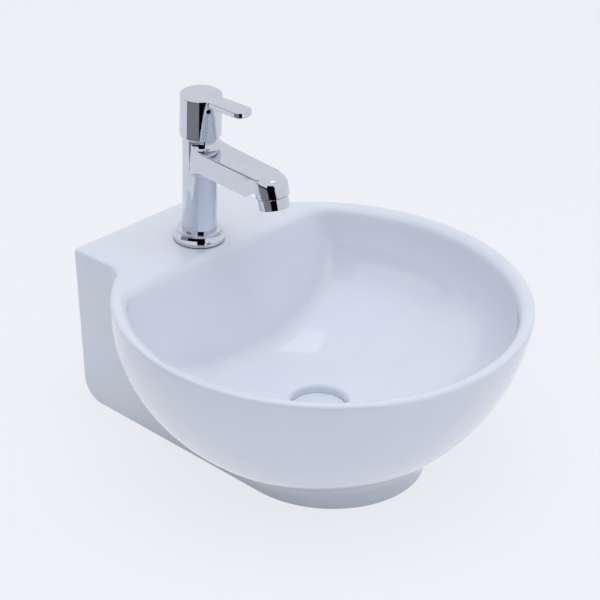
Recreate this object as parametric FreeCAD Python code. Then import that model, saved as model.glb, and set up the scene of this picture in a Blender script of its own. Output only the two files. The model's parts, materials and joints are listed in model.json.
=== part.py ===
import FreeCAD, Part
import math
import os

# Wall-hung basin with a round bowl, a pillar tap on its deck and a push waste in its floor.
# Millimetres. X runs along the wall, to the right as one faces it, -Y comes out of the wall and +Z is up.
# The shapes are drawn with the wall face at y = 0 and the rim at z = 0. The finished frame has its origin
# in the middle of the two wall fixing holes, on the wall face, so save() lifts everything by fixing_drop.

# basin: outside
rim_radius = 200.0        # outside of the round bowl at the rim
bowl_centre = 231.0       # from the wall to the bowl's axis
bowl_below_foot = 6.0     # how far the ellipsoid that the outside follows would pass the foot
bowl_set_back = 5.0       # how far the middle of the outside leans back to the wall
basin_height = 170.0      # from the foot to the rim
block_half_width = 105.0  # flat-sided block at the wall, at deck level
block_half_foot = 91.0    # the same at the foot
foot_centre = 245.0       # from the wall to the axis of the foot's round front
foot_radius = 93.4        # round front of the foot, at the bottom
foot_flare = 3.6          # how much wider that round front is at deck level
heel_round = 22.0         # rear lower edge, seen from the side
crease_round = 20.0       # hollow where the bowl meets the block and the foot
rim_round = 3.5           # outer edge of the rim and deck

# basin: inside
rim_width = 15.0
bowl_depth = 112.5        # from the rim to the floor at the waste
bowl_fullness = 2.6       # 2 is an ellipse, more is a fuller bowl
back_wall_top = 97.0      # from the wall to the flat back wall of the bowl, at deck level
back_wall_lean = 20.0     # degrees from upright
back_wall_blend = 20.0    # hollow between the back wall and the bowl
lip_round = 10.0          # inner edge of the rim

# basin: walls and holes
wall = 11.0               # thickness of the casting
fixing_spacing = 140.0    # between the wall fixing holes
fixing_radius = 7.0
fixing_drop = 60.0        # from the rim to the fixing holes
pipe_opening_height = 32.0  # open part of the back, above the foot
tap_hole_radius = 17.5
tap_from_wall = 65.0
waste_hole_radius = 22.5
waste_recess_radius = 27.6
waste_recess_depth = 12.0
recess_lip_round = 3.5    # upper edge of that recess
waste_pad = 12.0          # how far the thickened floor reaches past the waste hole
waste_pad_floor = 9.0     # thickness under the recess

# tap: body
column_radius_low = 16.8
column_radius_top = 17.7
column_top = 110.6
spigot_radius = 13.0      # lower end of the column, inside the base ring
spout_top_root = 102.8    # height of the spout's flat top at the column
spout_top_nose = 100.4    # and above the outlet
spout_bottom_root = 80.5
spout_bottom_chin = 78.0
spout_chin = 77.0         # from the tap's axis to the chin under the spout
spout_notch = 9.4         # from the chin to the notch in front of the nose
spout_notch_rise = 7.0
spout_half_root = 17.2
spout_half_nose = 15.8
nose_radius = 16.5
nose_reach = 97.0         # from the tap's axis to the outlet's axis, at the rim of the nose
nose_rim_height = 82.0
outlet_tilt = 15.0        # degrees that the outlet points forward
spout_root_blend = 6.5
waterway_radius = 6.5
duct_radius = 4.5
duct_height = 92.5
chamber_radius = 7.0      # space above the aerator
chamber_height = 6.0

# tap: base, shank and nut
gasket_radius = 24.6
gasket_thickness = 1.2
base_radius = 25.2
base_top_radius = 21.8
base_height = 12.4        # top of the base ring above the deck
base_lip = 3.0            # upright edge at the bottom of the base ring
base_hollow = 0.9         # how far its side is drawn in
base_edge_round = 0.8
base_web = 3.0            # inner shelf that the column stands on
base_clearance = 0.2
thread_clearance = 0.05
shank_radius = 10.48
shank_bore = 7.0
shank_engagement = 16.0
shank_below_deck = 48.0
inlet_thread = 33.0       # free end of the shank that the supply screws on to
relief_depth = 0.5        # groove where a free thread ends
relief_width = 1.0
clamp_clearance = 0.4
rubber_washer_radius = 20.0
rubber_washer_thickness = 3.0
clamp_washer_radius = 19.0
clamp_washer_thickness = 2.0
backnut_flats = 27.0
backnut_height = 8.0

# tap: quarter-turn valve
seat_height = 78.0        # shoulder that the valve seals on
pocket_radius = 9.9
pocket_height = 20.0
valve_thread_radius = 10.5
barrel_radius = 9.0
barrel_bore = 7.8
barrel_lift = 1.0         # from the seat to the lower end of the barrel
barrel_head_gap = 0.1
window_width = 7.0
window_height = 5.5
valve_hex_flats = 24.0
valve_hex_height = 6.0
valve_neck_radius = 7.0
valve_neck_height = 4.4
seal_thickness = 3.0
seal_bore = 6.0
seal_clearance = 0.1
disc_thickness = 3.0
disc_clearance = 0.3      # of the moving disc in the barrel
disc_gap = 0.05
port_radius = 1.9
port_offset = 3.8
slot_width = 3.0
slot_depth = 1.5
slot_clearance = 0.1
spindle_radius = 4.5
spindle_fit = 0.08
spindle_foot_radius = 7.4
spindle_foot_height = 3.0
ring_groove_radius = 3.05
ring_thickness = 1.44
ring_heights = (103.0, 107.5)

# tap: handle
handle_radius = 20.4
handle_gap = 0.4
handle_top = 154.5
handle_wall = 3.2
handle_cap_thickness = 7.5
handle_boss_radius = 9.0
handle_boss_drop = 25.0
handle_bore_clearance = 0.05
handle_edge_round = 1.2   # round its top
handle_skirt_round = 2.2  # round its bottom
lever_reach = 62.0
lever_half_root = 8.9
lever_half_tip = 10.3
lever_thickness = 6.0
lever_rise = 2.6          # degrees that the lever climbs towards its tip
lever_rise_start = 17.5   # from the axis to where the lever leaves the level of the top
lever_corner = 8.0
lever_edge_round = 1.2
screw_angle = 24.0        # degrees from the lever, to the left
screw_height = 144.0
screw_radius = 2.0
screw_length = 5.3
screw_clearance = 0.02
screw_access_radius = 2.3
screw_socket_flats = 2.0
screw_socket_depth = 2.5

# tap: aerator
aerator_radius = 14.8
aerator_ring = 11.0
aerator_neck_radius = 11.4
aerator_neck_length = 7.0
aerator_shadow_gap = 1.2
aerator_groove_radius = 13.2
aerator_edge_round = 0.6
aerator_bore = 12.0
aerator_throat = 9.6
aerator_web = 2.0
aerator_washer_thickness = 1.6
aerator_washer_bore = 8.0
insert_thickness = 6.0
insert_clearance = 0.1
insert_hole_radius = 0.85
insert_ring_radii = (2.9, 5.6, 8.4)
insert_ring_counts = (6, 12, 18)
screen_thickness = 0.6

# waste
waste_radius = 20.95      # thread of the waste body
waste_bore = 18.2
flange_radius = 27.0
flange_thickness = 2.4
flange_edge_round = 0.7
flange_opening = 22.0
flange_seal_thickness = 1.0
flange_seal_radius = 26.5
sleeve_radius = 22.2
sleeve_length = 8.0
body_below_flange = 2.0
waste_length = 43.0
trap_thread = 14.5        # free end of the waste body that the trap screws on to
cap_radius = 21.4
cap_thickness = 3.2
cap_crown = 1.4
cap_edge_round = 0.8
cap_lift_gap = 0.3
plug_seal_radius = 20.4
plug_seal_gap = 0.1
plate_radius = 15.5
plate_thickness = 1.8
stem_radius = 3.0
stem_length = 32.0
stem_fit = 0.08
collar_radius = 4.6
collar_thickness = 1.5
collar_drop = 17.9        # from the plate to the collar
spider_rise = 11.0        # from the tail of the waste to the spider
spider_height = 4.0
spider_arm = 3.0
spider_boss = 7.0
click_radius = 5.8
click_bore = 4.9
click_height = 25.0
click_cover = 1.5
spring_radius = 4.1
spring_wire = 0.8
spring_turns = 6
spring_end_gap = 0.05
cone_washer_radius = 29.0
cone_washer_height = 6.0
cone_washer_taper = 2.4
slip_washer_radius = 28.0
slip_washer_thickness = 1.6
waste_nut_radius = 27.0
waste_nut_height = 10.0
waste_nut_lugs = 8
waste_nut_lug = 2.5
waste_nut_lug_width = 6.0

bowl_sections = 9
profile_points = 14
over = 1.0                # how far a cutting shape passes the face that it cuts

# places worked out from the sizes above
tap_y = -tap_from_wall
bowl_y = -bowl_centre
bowl_outer_depth = basin_height + bowl_below_foot
inner_radius = rim_radius - rim_width
tilt = math.radians(outlet_tilt)
nose_rim = FreeCAD.Vector(0, tap_y - nose_reach, nose_rim_height)
outlet_down = FreeCAD.Vector(0, -math.sin(tilt), -math.cos(tilt))
shoulder = gasket_thickness + base_web
shank_foot = -wall - shank_below_deck
hex_base = column_top
disc_base = seat_height + seal_thickness
moving_disc_base = disc_base + disc_thickness + disc_gap
spindle_base = moving_disc_base + disc_thickness
barrel_head = spindle_base + spindle_foot_height + barrel_head_gap
handle_base = column_top + handle_gap
handle_roof = handle_top - handle_cap_thickness
boss_base = handle_roof - handle_boss_drop
screw_outward = FreeCAD.Vector(-math.sin(math.radians(screw_angle)), -math.cos(math.radians(screw_angle)), 0)
insert_start = aerator_shadow_gap + aerator_web
outlet_socket = aerator_neck_length + aerator_washer_thickness
recess_floor = -bowl_depth - waste_recess_depth
pad_underside = recess_floor - waste_pad_floor
flange_base = recess_floor + flange_seal_thickness
waste_top = flange_base - body_below_flange
waste_tail = waste_top - waste_length
cap_base = flange_base + cap_lift_gap
plate_base = cap_base - plate_thickness
spider_top = waste_tail + spider_rise + spider_height
collar_top = plate_base - collar_drop
cone_washer_base = pad_underside - cone_washer_height
slip_washer_base = cone_washer_base - slip_washer_thickness


def vec(x, y, z):
    return FreeCAD.Vector(x, y, z)


def save(node, *solids):
    """Writes one sub-part, moved to the frame whose origin is between the wall fixing holes."""
    shape = solids[0] if len(solids) == 1 else Part.makeCompound(list(solids))
    shape = shape.copy()
    shape.translate(vec(0, 0, fixing_drop))
    for solid in shape.Solids:
        assert solid.isValid(), node
    shape.exportStep("parts/" + node + ".step")
    print(node, len(shape.Solids), "solid(s)", round(shape.Volume / 1000, 2), "cm3")


def disc(radius, low, high, y, x=0.0):
    return Part.makeCylinder(radius, high - low, vec(x, y, low))


def ring(outer, inner, low, high, y):
    return disc(outer, low, high, y).cut(disc(inner, low - over, high + over, y))


def turned(profile, y):
    """Turns a closed outline about the upright axis at y.

    An entry is a corner (r, z), or one reached by an arc through a middle point (r, z, middle r, middle z).
    """
    edges = []
    for start, end in zip(profile, profile[1:] + profile[:1]):
        first, last = vec(start[0], y, start[1]), vec(end[0], y, end[1])
        if len(end) == 4:
            edges.append(Part.Arc(first, vec(end[2], y, end[3]), last).toShape())
        else:
            edges.append(Part.makeLine(first, last))
    return Part.Face(Part.Wire(edges)).revolve(vec(0, y, 0), vec(0, 0, 1), 360)


def prism(points, along):
    """Closed outline of points, drawn out along a vector."""
    return Part.Face(Part.makePolygon(points + points[:1])).extrude(along)


def hexagon(flats, low, high, y):
    corner = flats / math.sqrt(3)
    angles = [math.radians(60 * k) for k in range(6)]
    points = [vec(corner * math.cos(a), y + corner * math.sin(a), low) for a in angles]
    return prism(points, vec(0, 0, high - low))


def along_outlet(distance):
    """Point on the outlet's tilted axis, this far below the rim of the nose."""
    return nose_rim + outlet_down * distance


def outlet_disc(radius, start, end):
    return Part.makeCylinder(radius, end - start, along_outlet(start), outlet_down)


def outlet_ring(outer, inner, start, end):
    return outlet_disc(outer, start, end).cut(outlet_disc(inner, start - over, end + over))


# ---- basin ----

def lean_back(z):
    return bowl_set_back * math.sin(math.pi * min(1.0, -z / basin_height))


def outer_bowl(inset):
    """Lower half of the bowl's outside, as a skin through level circles. The seam lies at the wall side."""
    lowest = math.asin((basin_height - wall / 2) / bowl_outer_depth)
    hoops = []
    for k in range(bowl_sections):
        angle = lowest * k / (bowl_sections - 1)
        z = -bowl_outer_depth * math.sin(angle)
        centre = vec(0, bowl_y + lean_back(z), z)
        hoop = Part.Circle(centre, vec(0, 0, 1), rim_radius * math.cos(angle) - inset).toShape()
        hoop.rotate(centre, vec(0, 0, 1), 90)
        hoops.append(Part.Wire([hoop]))
    return Part.makeLoft(hoops, True, False)


def plan_of_block(half, radius, z, inset):
    """Flat sides from just behind the wall face, running as tangents into a round front."""
    reach = math.hypot(half, foot_centre)
    turn = math.atan2(foot_centre, half) - math.acos(radius / reach)
    r = radius - inset
    touch = vec(r * math.cos(turn), -foot_centre + r * math.sin(turn), z)
    mirror = vec(-touch.x, touch.y, z)
    corner = vec(half - inset, -inset, z)
    corner += (corner - touch).normalize() * over
    far_corner = vec(-corner.x, corner.y, z)
    front = Part.Arc(touch, vec(0, -foot_centre - r, z), mirror).toShape()
    sides = [Part.makeLine(corner, touch), front, Part.makeLine(mirror, far_corner)]
    return Part.Wire(sides + [Part.makeLine(far_corner, corner)])


def block_and_foot(inset):
    low = plan_of_block(block_half_foot, foot_radius, -basin_height, inset)
    high = plan_of_block(block_half_width, foot_radius + foot_flare, 0.0, inset)
    behind = Part.makeBox(4 * rim_radius, rim_radius, 4 * rim_radius,
                          vec(-2 * rim_radius, -inset, -2 * rim_radius))
    return Part.makeLoft([low, high], True, True).cut(behind)


def inner_bowl(grow):
    """Round bowl whose side follows a superellipse, cut off by the flat back wall."""
    radius = inner_radius + grow
    depth = bowl_depth + grow
    points = [vec(0, bowl_y + radius, over)]
    for k in range(profile_points):
        angle = math.pi / 2 * k / (profile_points - 1)
        r = radius * max(math.cos(angle), 0.0) ** (2 / bowl_fullness)
        z = -depth * math.sin(angle) ** (2 / bowl_fullness)
        points.append(vec(0, bowl_y + r, z))
    curve = Part.BSplineCurve()
    curve.interpolate(Points=points, InitialTangent=vec(0, 0, -1), FinalTangent=vec(0, -1, 0))
    top = vec(0, bowl_y, over)
    outline = Part.Wire([Part.makeLine(top, points[0]), curve.toShape(), Part.makeLine(points[-1], top)])
    bowl = Part.Face(outline).revolve(vec(0, bowl_y, 0), vec(0, 0, 1), 360)
    lean = math.radians(back_wall_lean)
    back = Part.makeBox(4 * rim_radius, rim_radius, 4 * rim_radius, vec(-2 * rim_radius, 0, -2 * rim_radius))
    back.rotate(vec(0, 0, 0), vec(1, 0, 0), -back_wall_lean)
    back.translate(vec(0, -back_wall_top + grow / math.cos(lean), 0))
    bowl = bowl.cut(back)
    slanted = [e for e in bowl.Edges if meets_back_wall(bowl, e)]
    return bowl.makeFillet(back_wall_blend + grow, slanted)


def meets_back_wall(bowl, edge):
    """True for the edge between the leaning back wall and the turned side of the bowl."""
    faces = bowl.ancestorsOfType(edge, Part.Face)
    kinds = [isinstance(face.Surface, Part.Plane) and abs(face.normalAt(0, 0).z) < 0.9 for face in faces]
    return len(faces) == 2 and kinds.count(True) == 1 and edge.BoundBox.ZMin < -over


def is_crease(body, edge):
    """True for an edge where the wide bowl meets the narrow block."""
    faces = body.ancestorsOfType(edge, Part.Face)
    if len(faces) != 2 or edge.BoundBox.ZMin < -basin_height + over or edge.BoundBox.ZMin > -over:
        return False
    widths = sorted(max(abs(f.BoundBox.XMin), abs(f.BoundBox.XMax)) for f in faces)
    return widths[1] > rim_radius - rim_width and widths[0] < rim_radius * 0.75


def on_deck(edge):
    return edge.BoundBox.ZMin > -0.01


def round_the_bowl(edge):
    middle = vec(0, bowl_y, 0)
    return all(point.sub(middle).Length < inner_radius + over for point in edge.discretize(5))


def round_the_recess(edge):
    """True for the upper edge of the waste's recess."""
    reach = [math.hypot(point.x, point.y - bowl_y) for point in edge.discretize(5)]
    on_the_side = all(abs(r - waste_recess_radius) < 0.01 for r in reach)
    return on_the_side and edge.BoundBox.ZMin > recess_floor + over


def basin_outside():
    foot = block_and_foot(0.0)
    heel = [e for e in foot.Edges
            if abs(e.CenterOfMass.y) < 0.01 and abs(e.CenterOfMass.z + basin_height) < 0.01]
    foot = foot.makeFillet(heel_round, heel)
    body = outer_bowl(0.0).fuse(foot).removeSplitter()
    body = body.makeFillet(crease_round, [e for e in body.Edges if is_crease(body, e)])
    return body.makeFillet(rim_round, [e for e in body.Edges if on_deck(e) and e.BoundBox.YMin < -over])


def underside_hollow():
    """Space under the bowl and the deck: the outside drawn in by one wall, less the bowl grown by one."""
    hollow = outer_bowl(wall).fuse(block_and_foot(wall))
    below_deck = Part.makeBox(4 * rim_radius, 4 * rim_radius, basin_height,
                              vec(-2 * rim_radius, -3 * rim_radius, -basin_height - wall))
    pad = disc(waste_hole_radius + waste_pad, pad_underside, -wall, bowl_y)
    return hollow.common(below_deck).cut(inner_bowl(wall)).cut(pad)


def basin_body():
    body = basin_outside().cut(inner_bowl(0.0))
    body = body.makeFillet(lip_round, [e for e in body.Edges if on_deck(e) and round_the_bowl(e)])
    body = body.cut(underside_hollow())
    opening = Part.makeBox(2 * (block_half_foot - wall), wall + over, pipe_opening_height + over,
                           vec(wall - block_half_foot, -wall - over / 2, -basin_height - over))
    body = body.cut(opening)
    for side in (-1, 1):
        hole = Part.makeCylinder(fixing_radius, 2 * wall, vec(side * fixing_spacing / 2, over, -fixing_drop),
                                 vec(0, -1, 0))
        body = body.cut(hole)
    body = body.cut(disc(tap_hole_radius, -wall - over, over, tap_y))
    body = body.cut(disc(waste_hole_radius, pad_underside - over, -bowl_depth + over, bowl_y))
    body = body.cut(disc(waste_recess_radius, recess_floor, -bowl_depth + over, bowl_y))
    return body.makeFillet(recess_lip_round, [e for e in body.Edges if round_the_recess(e)])


# ---- tap: body, base, shank and nut ----

def spout_top(y):
    """Height of the spout's flat top, which falls a little from the column to the outlet."""
    return spout_top_root - (spout_top_root - spout_top_nose) * (tap_y - y) / nose_reach


def spout_bar():
    """Flat-topped bar from the column to the outlet, with a chin in front of the outlet."""
    nose_y = along_outlet(nose_rim_height - spout_top_nose).y
    chin_y = tap_y - spout_chin
    notch_y = chin_y - spout_notch
    notch_z = spout_bottom_chin + spout_notch_rise
    side = [(tap_y, spout_top(tap_y)), (nose_y, spout_top(nose_y)), (nose_y, notch_z), (notch_y, notch_z),
            (chin_y, spout_bottom_chin), (tap_y, spout_bottom_root)]
    span = 2 * column_radius_top
    upright = prism([vec(-span, y, z) for y, z in side], vec(2 * span, 0, 0))
    plan = [(spout_half_root, tap_y), (spout_half_nose, nose_y), (-spout_half_nose, nose_y),
            (-spout_half_root, tap_y)]
    return upright.common(prism([vec(x, y, 0) for x, y in plan], vec(0, 0, column_top)))


def nose():
    """Tilted round end of the spout, cut level with the spout's top."""
    tall = outlet_disc(nose_radius, -2 * nose_radius, 0)
    far = tap_y - nose_reach - 2 * nose_radius
    wedge = [(tap_y, spout_top(tap_y)), (tap_y, 0), (far, 0), (far, spout_top(far))]
    return tall.common(prism([vec(-2 * nose_radius, y, z) for y, z in wedge], vec(4 * nose_radius, 0, 0)))


def faces_at(body, edge):
    """Names of the kinds of surface that meet at an edge."""
    return sorted(type(face.Surface).__name__ for face in body.ancestorsOfType(edge, Part.Face))


def on_spout(edge):
    return edge.BoundBox.ZMin > seat_height - over and edge.BoundBox.ZMax < column_top - over


def tap_form():
    """Outside of the tap: column, spout and nose with their blends, before any bore."""
    spigot = disc(spigot_radius, gasket_thickness, shoulder, tap_y)
    column = Part.makeCone(column_radius_low, column_radius_top, column_top - shoulder,
                           vec(0, tap_y, shoulder))
    body = spigot.fuse(column).fuse(spout_bar()).fuse(nose()).removeSplitter()
    root = [e for e in body.Edges if on_spout(e) and faces_at(body, e) == ["Cone", "Plane"]]
    return body.makeFillet(spout_root_blend, root)


def tap_bores():
    """Water's way through the tap, with the sockets of the shank, the valve and the aerator."""
    pocket_top = seat_height + pocket_height
    shank_top = gasket_thickness + shank_engagement
    duct_end = along_outlet((nose_rim_height - duct_height) / math.cos(tilt)).y
    duct = Part.makeCylinder(duct_radius, tap_y - duct_end, vec(0, tap_y, duct_height), vec(0, -1, 0))
    return [
        disc(shank_radius + thread_clearance, gasket_thickness - over, shank_top, tap_y),
        disc(waterway_radius, gasket_thickness, seat_height + over, tap_y),
        disc(pocket_radius, seat_height, pocket_top, tap_y),
        disc(valve_thread_radius, pocket_top, column_top + over, tap_y),
        duct,
        outlet_disc(chamber_radius, -outlet_socket - chamber_height, 0),
        outlet_disc(aerator_neck_radius + thread_clearance, -outlet_socket, over),
    ]


def tap_body():
    body = tap_form()
    for bore in tap_bores():
        body = body.cut(bore)
    return body


def end_of_thread(radius, height, y):
    """Groove round a threaded tube, upwards from a height."""
    return ring(2 * radius, radius - relief_depth, height, height + relief_width, y)


def tap_base_gasket():
    return ring(gasket_radius, spigot_radius + base_clearance, 0, gasket_thickness, tap_y)


def tap_base_ring():
    """Turned ring with a hollow side; the column stands on its inner web."""
    low, high = gasket_thickness, base_height
    bore = column_radius_low + base_clearance
    foot = vec(base_radius, 0, low + base_lip)
    head = vec(base_top_radius, 0, high)
    slope = (head - foot).normalize()
    middle = (foot + head) * 0.5 - vec(slope.z, 0, -slope.x) * base_hollow
    outline = [(spigot_radius + base_clearance, low), (base_radius, low), (foot.x, foot.z),
               (head.x, head.z, middle.x, middle.z), (bore, high), (bore, shoulder),
               (spigot_radius + base_clearance, shoulder)]
    body = turned(outline, tap_y)
    outer = [e for e in body.Edges if e.BoundBox.ZMin > high - 0.01 and e.BoundBox.XMax > bore + over]
    return body.makeFillet(base_edge_round, outer)


def inlet_shank():
    tube = ring(shank_radius, shank_bore, shank_foot, gasket_thickness + shank_engagement, tap_y)
    return tube.cut(end_of_thread(shank_radius, shank_foot + inlet_thread, tap_y))


def shank_stack():
    """Soft washer, clamp washer and nut on the shank, from the underside of the deck down."""
    loose = shank_radius + clamp_clearance
    soft_low = -wall - rubber_washer_thickness
    clamp_low = soft_low - clamp_washer_thickness
    nut = hexagon(backnut_flats, clamp_low - backnut_height, clamp_low, tap_y)
    nut = nut.cut(disc(shank_radius + thread_clearance, shank_foot, over, tap_y))
    return {
        "shank_rubber_washer": ring(rubber_washer_radius, loose, soft_low, -wall, tap_y),
        "shank_clamp_washer": ring(clamp_washer_radius, loose, clamp_low, soft_low, tap_y),
        "shank_backnut": nut,
    }


# ---- tap: quarter-turn valve ----

def valve_body():
    """Screwed-in housing: barrel with side windows, thread, hexagon and neck."""
    low = seat_height + barrel_lift
    pocket_top = seat_height + pocket_height
    hex_top = hex_base + valve_hex_height
    body = disc(barrel_radius, low, pocket_top, tap_y)
    body = body.fuse(disc(valve_thread_radius - thread_clearance, pocket_top, hex_base, tap_y))
    body = body.fuse(hexagon(valve_hex_flats, hex_base, hex_top, tap_y))
    body = body.fuse(disc(valve_neck_radius, hex_top, hex_top + valve_neck_height, tap_y))
    body = body.cut(disc(barrel_bore, low - over, barrel_head, tap_y))
    body = body.cut(disc(spindle_radius + spindle_fit, low, hex_top + valve_neck_height + over, tap_y))
    window = Part.makeBox(4 * barrel_radius, window_width, window_height,
                          vec(-2 * barrel_radius, tap_y - window_width / 2, moving_disc_base))
    return body.cut(window)


def valve_seal():
    return ring(barrel_bore - seal_clearance, seal_bore, seat_height, disc_base, tap_y)


def port_pair(low, high, quarter_turned):
    """Two holes through a ceramic disc, along X or turned to lie along Y."""
    holes = []
    for side in (-1, 1):
        x, y = (0, side * port_offset) if quarter_turned else (side * port_offset, 0)
        holes.append(disc(port_radius, low - over, high + over, tap_y + y, x))
    return holes


def fixed_disc():
    body = disc(barrel_bore - seal_clearance, disc_base, disc_base + disc_thickness, tap_y)
    for hole in port_pair(disc_base, disc_base + disc_thickness, False):
        body = body.cut(hole)
    return body


def moving_disc():
    """Turning disc: its two ports run out to its edge, and a slot in its top takes the spindle's tongue."""
    radius = barrel_bore - disc_clearance
    body = disc(radius, moving_disc_base, spindle_base, tap_y)
    for hole in port_pair(moving_disc_base, spindle_base, True):
        body = body.cut(hole)
    for side in (-1, 1):
        edge = min(side * port_offset, side * 2 * radius)
        way_out = Part.makeBox(2 * port_radius, 2 * radius - port_offset, disc_thickness + 2 * over,
                               vec(-port_radius, tap_y + edge, moving_disc_base - over))
        body = body.cut(way_out)
    return body.cut(tongue(0.0))


def tongue(clearance):
    """Flat key between the spindle's foot and the moving disc, slimmer than its slot by the clearance."""
    width = slot_width - 2 * clearance
    length = 2 * (spindle_foot_radius - over)
    return Part.makeBox(length, width, slot_depth - clearance,
                        vec(-length / 2, tap_y - width / 2, spindle_base - slot_depth + clearance))


def valve_spindle():
    body = disc(spindle_foot_radius, spindle_base, spindle_base + spindle_foot_height, tap_y)
    body = body.fuse(tongue(slot_clearance))
    body = body.fuse(disc(spindle_radius, spindle_base, handle_roof, tap_y))
    for height in ring_heights:
        groove = ring(2 * spindle_radius, ring_groove_radius, height - ring_thickness / 2,
                      height + ring_thickness / 2, tap_y)
        body = body.cut(groove)
    return body


def spindle_rings():
    middle = ring_groove_radius + ring_thickness / 2
    return [Part.makeTorus(middle, ring_thickness / 2, vec(0, tap_y, height)) for height in ring_heights]


# ---- tap: handle ----

def lever():
    """Flat tongue that climbs a little towards its rounded tip."""
    tip_y = tap_y - lever_reach
    plan = [(lever_half_root, tap_y), (lever_half_tip, tip_y),
            (-lever_half_tip, tip_y), (-lever_half_root, tap_y)]
    body = prism([vec(x, y, handle_top - lever_thickness) for x, y in plan], vec(0, 0, lever_thickness))
    corners = [e for e in body.Edges
               if abs(e.CenterOfMass.y - tip_y) < 0.01 and abs(e.CenterOfMass.x) > over]
    body = body.makeFillet(lever_corner, corners)
    tip = [e for e in body.Edges if e.BoundBox.YMin < tap_y - over and e.BoundBox.ZLength < 0.01]
    body = body.makeFillet(lever_edge_round, tip)
    body.rotate(vec(0, tap_y - lever_rise_start, handle_top), vec(1, 0, 0), -lever_rise)
    return body


def screw_way(radius, start, end):
    """Round bar on the grub screw's line, from start to end as measured from the spindle's axis."""
    base = vec(0, tap_y, screw_height) + screw_outward * start
    return Part.makeCylinder(radius, end - start, base, screw_outward)


def handle():
    """Hollow round cap with its lever, and a boss inside that sits on the spindle."""
    body = disc(handle_radius, handle_base, handle_top, tap_y)
    for edge_round, height in ((handle_edge_round, handle_top), (handle_skirt_round, handle_base)):
        edges = [e for e in body.Edges if e.BoundBox.ZLength < 0.01 and abs(e.BoundBox.ZMin - height) < 0.01]
        body = body.makeFillet(edge_round, edges)
    body = body.fuse(lever())
    body = body.cut(disc(handle_radius - handle_wall, handle_base - over, handle_roof, tap_y))
    body = body.fuse(disc(handle_boss_radius, boss_base, handle_roof, tap_y))
    body = body.cut(disc(spindle_radius + handle_bore_clearance, boss_base - over, handle_roof, tap_y))
    body = body.cut(screw_way(screw_radius + screw_clearance, 0, handle_boss_radius + over))
    return body.cut(screw_way(screw_access_radius, handle_boss_radius, handle_radius + over))


def handle_grub_screw():
    end = spindle_radius + screw_length
    body = screw_way(screw_radius, spindle_radius, end)
    across = vec(screw_outward.y, -screw_outward.x, 0)
    middle = vec(0, tap_y, screw_height) + screw_outward * (end - screw_socket_depth)
    corner = screw_socket_flats / math.sqrt(3)
    turns = [math.radians(60 * k) for k in range(6)]
    points = [middle + across * (corner * math.cos(t)) + vec(0, 0, corner * math.sin(t)) for t in turns]
    return body.cut(prism(points, screw_outward * (screw_socket_depth + over)))


# ---- tap: aerator ----

def aerator_housing():
    """Ring under the nose with a shadow groove above it and a screwed neck."""
    end = aerator_shadow_gap + aerator_ring
    body = outlet_disc(aerator_radius, aerator_shadow_gap, end)
    body = body.makeFillet(aerator_edge_round, [e for e in body.Edges if e.Length > aerator_ring + over])
    body = body.fuse(outlet_disc(aerator_groove_radius, 0, aerator_shadow_gap + over))
    body = body.fuse(outlet_disc(aerator_neck_radius, -aerator_neck_length, over))
    body = body.cut(outlet_disc(aerator_throat, -aerator_neck_length - over, insert_start + over))
    return body.cut(outlet_disc(aerator_bore, insert_start, end + over))


def aerator_washer():
    return outlet_ring(aerator_neck_radius, aerator_washer_bore, -outlet_socket, -aerator_neck_length)


def aerator_insert():
    end = insert_start + insert_thickness
    body = outlet_disc(aerator_bore - insert_clearance, insert_start, end)
    holes = []
    for radius, count in zip(insert_ring_radii, insert_ring_counts):
        for k in range(count):
            turn = 2 * math.pi * k / count
            hole = outlet_disc(insert_hole_radius, insert_start - over, end + over)
            forward = vec(0, -math.cos(tilt), math.sin(tilt))
            hole.translate(vec(radius * math.cos(turn), 0, 0) + forward * (radius * math.sin(turn)))
            holes.append(hole)
    return body.cut(Part.makeCompound(holes))


def aerator_screen():
    return outlet_disc(aerator_throat - insert_clearance, insert_start - screen_thickness, insert_start)


# ---- waste ----

def waste_flange_seal():
    return ring(flange_seal_radius, waste_hole_radius, recess_floor, flange_base, bowl_y)


def waste_flange():
    """Flange in the floor's recess, with a threaded sleeve that the waste body screws into."""
    top = flange_base + flange_thickness
    bore = waste_radius + thread_clearance
    body = ring(flange_radius, flange_opening, flange_base, top, bowl_y)
    body = body.makeFillet(flange_edge_round, [e for e in body.Edges if e.BoundBox.ZMin > top - 0.01])
    return body.fuse(ring(sleeve_radius, bore, flange_base - sleeve_length, flange_base, bowl_y))


def waste_body():
    """Threaded tube with a four-armed spider and boss for the plug's stem."""
    tube = ring(waste_radius, waste_bore, waste_tail, waste_top, bowl_y)
    tube = tube.cut(end_of_thread(waste_radius, waste_tail + trap_thread, bowl_y))
    low = spider_top - spider_height
    for turned_by in (0, 90):
        arm = Part.makeBox(2 * waste_bore + over, spider_arm, spider_height,
                           vec(-waste_bore - over / 2, bowl_y - spider_arm / 2, low))
        arm.rotate(vec(0, bowl_y, low), vec(0, 0, 1), turned_by)
        tube = tube.fuse(arm)
    tube = tube.fuse(disc(spider_boss, low, spider_top, bowl_y)).removeSplitter()
    return tube.cut(disc(stem_radius + stem_fit, low - over, spider_top + over, bowl_y))


def click_housing():
    """Tube on the spider's boss round the spring, closed at its top but for the stem."""
    top = spider_top + click_height
    body = disc(click_radius, spider_top, top, bowl_y)
    body = body.cut(disc(click_bore, spider_top - over, top - click_cover, bowl_y))
    return body.cut(disc(stem_radius + stem_fit, spider_top, top + over, bowl_y))


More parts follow.
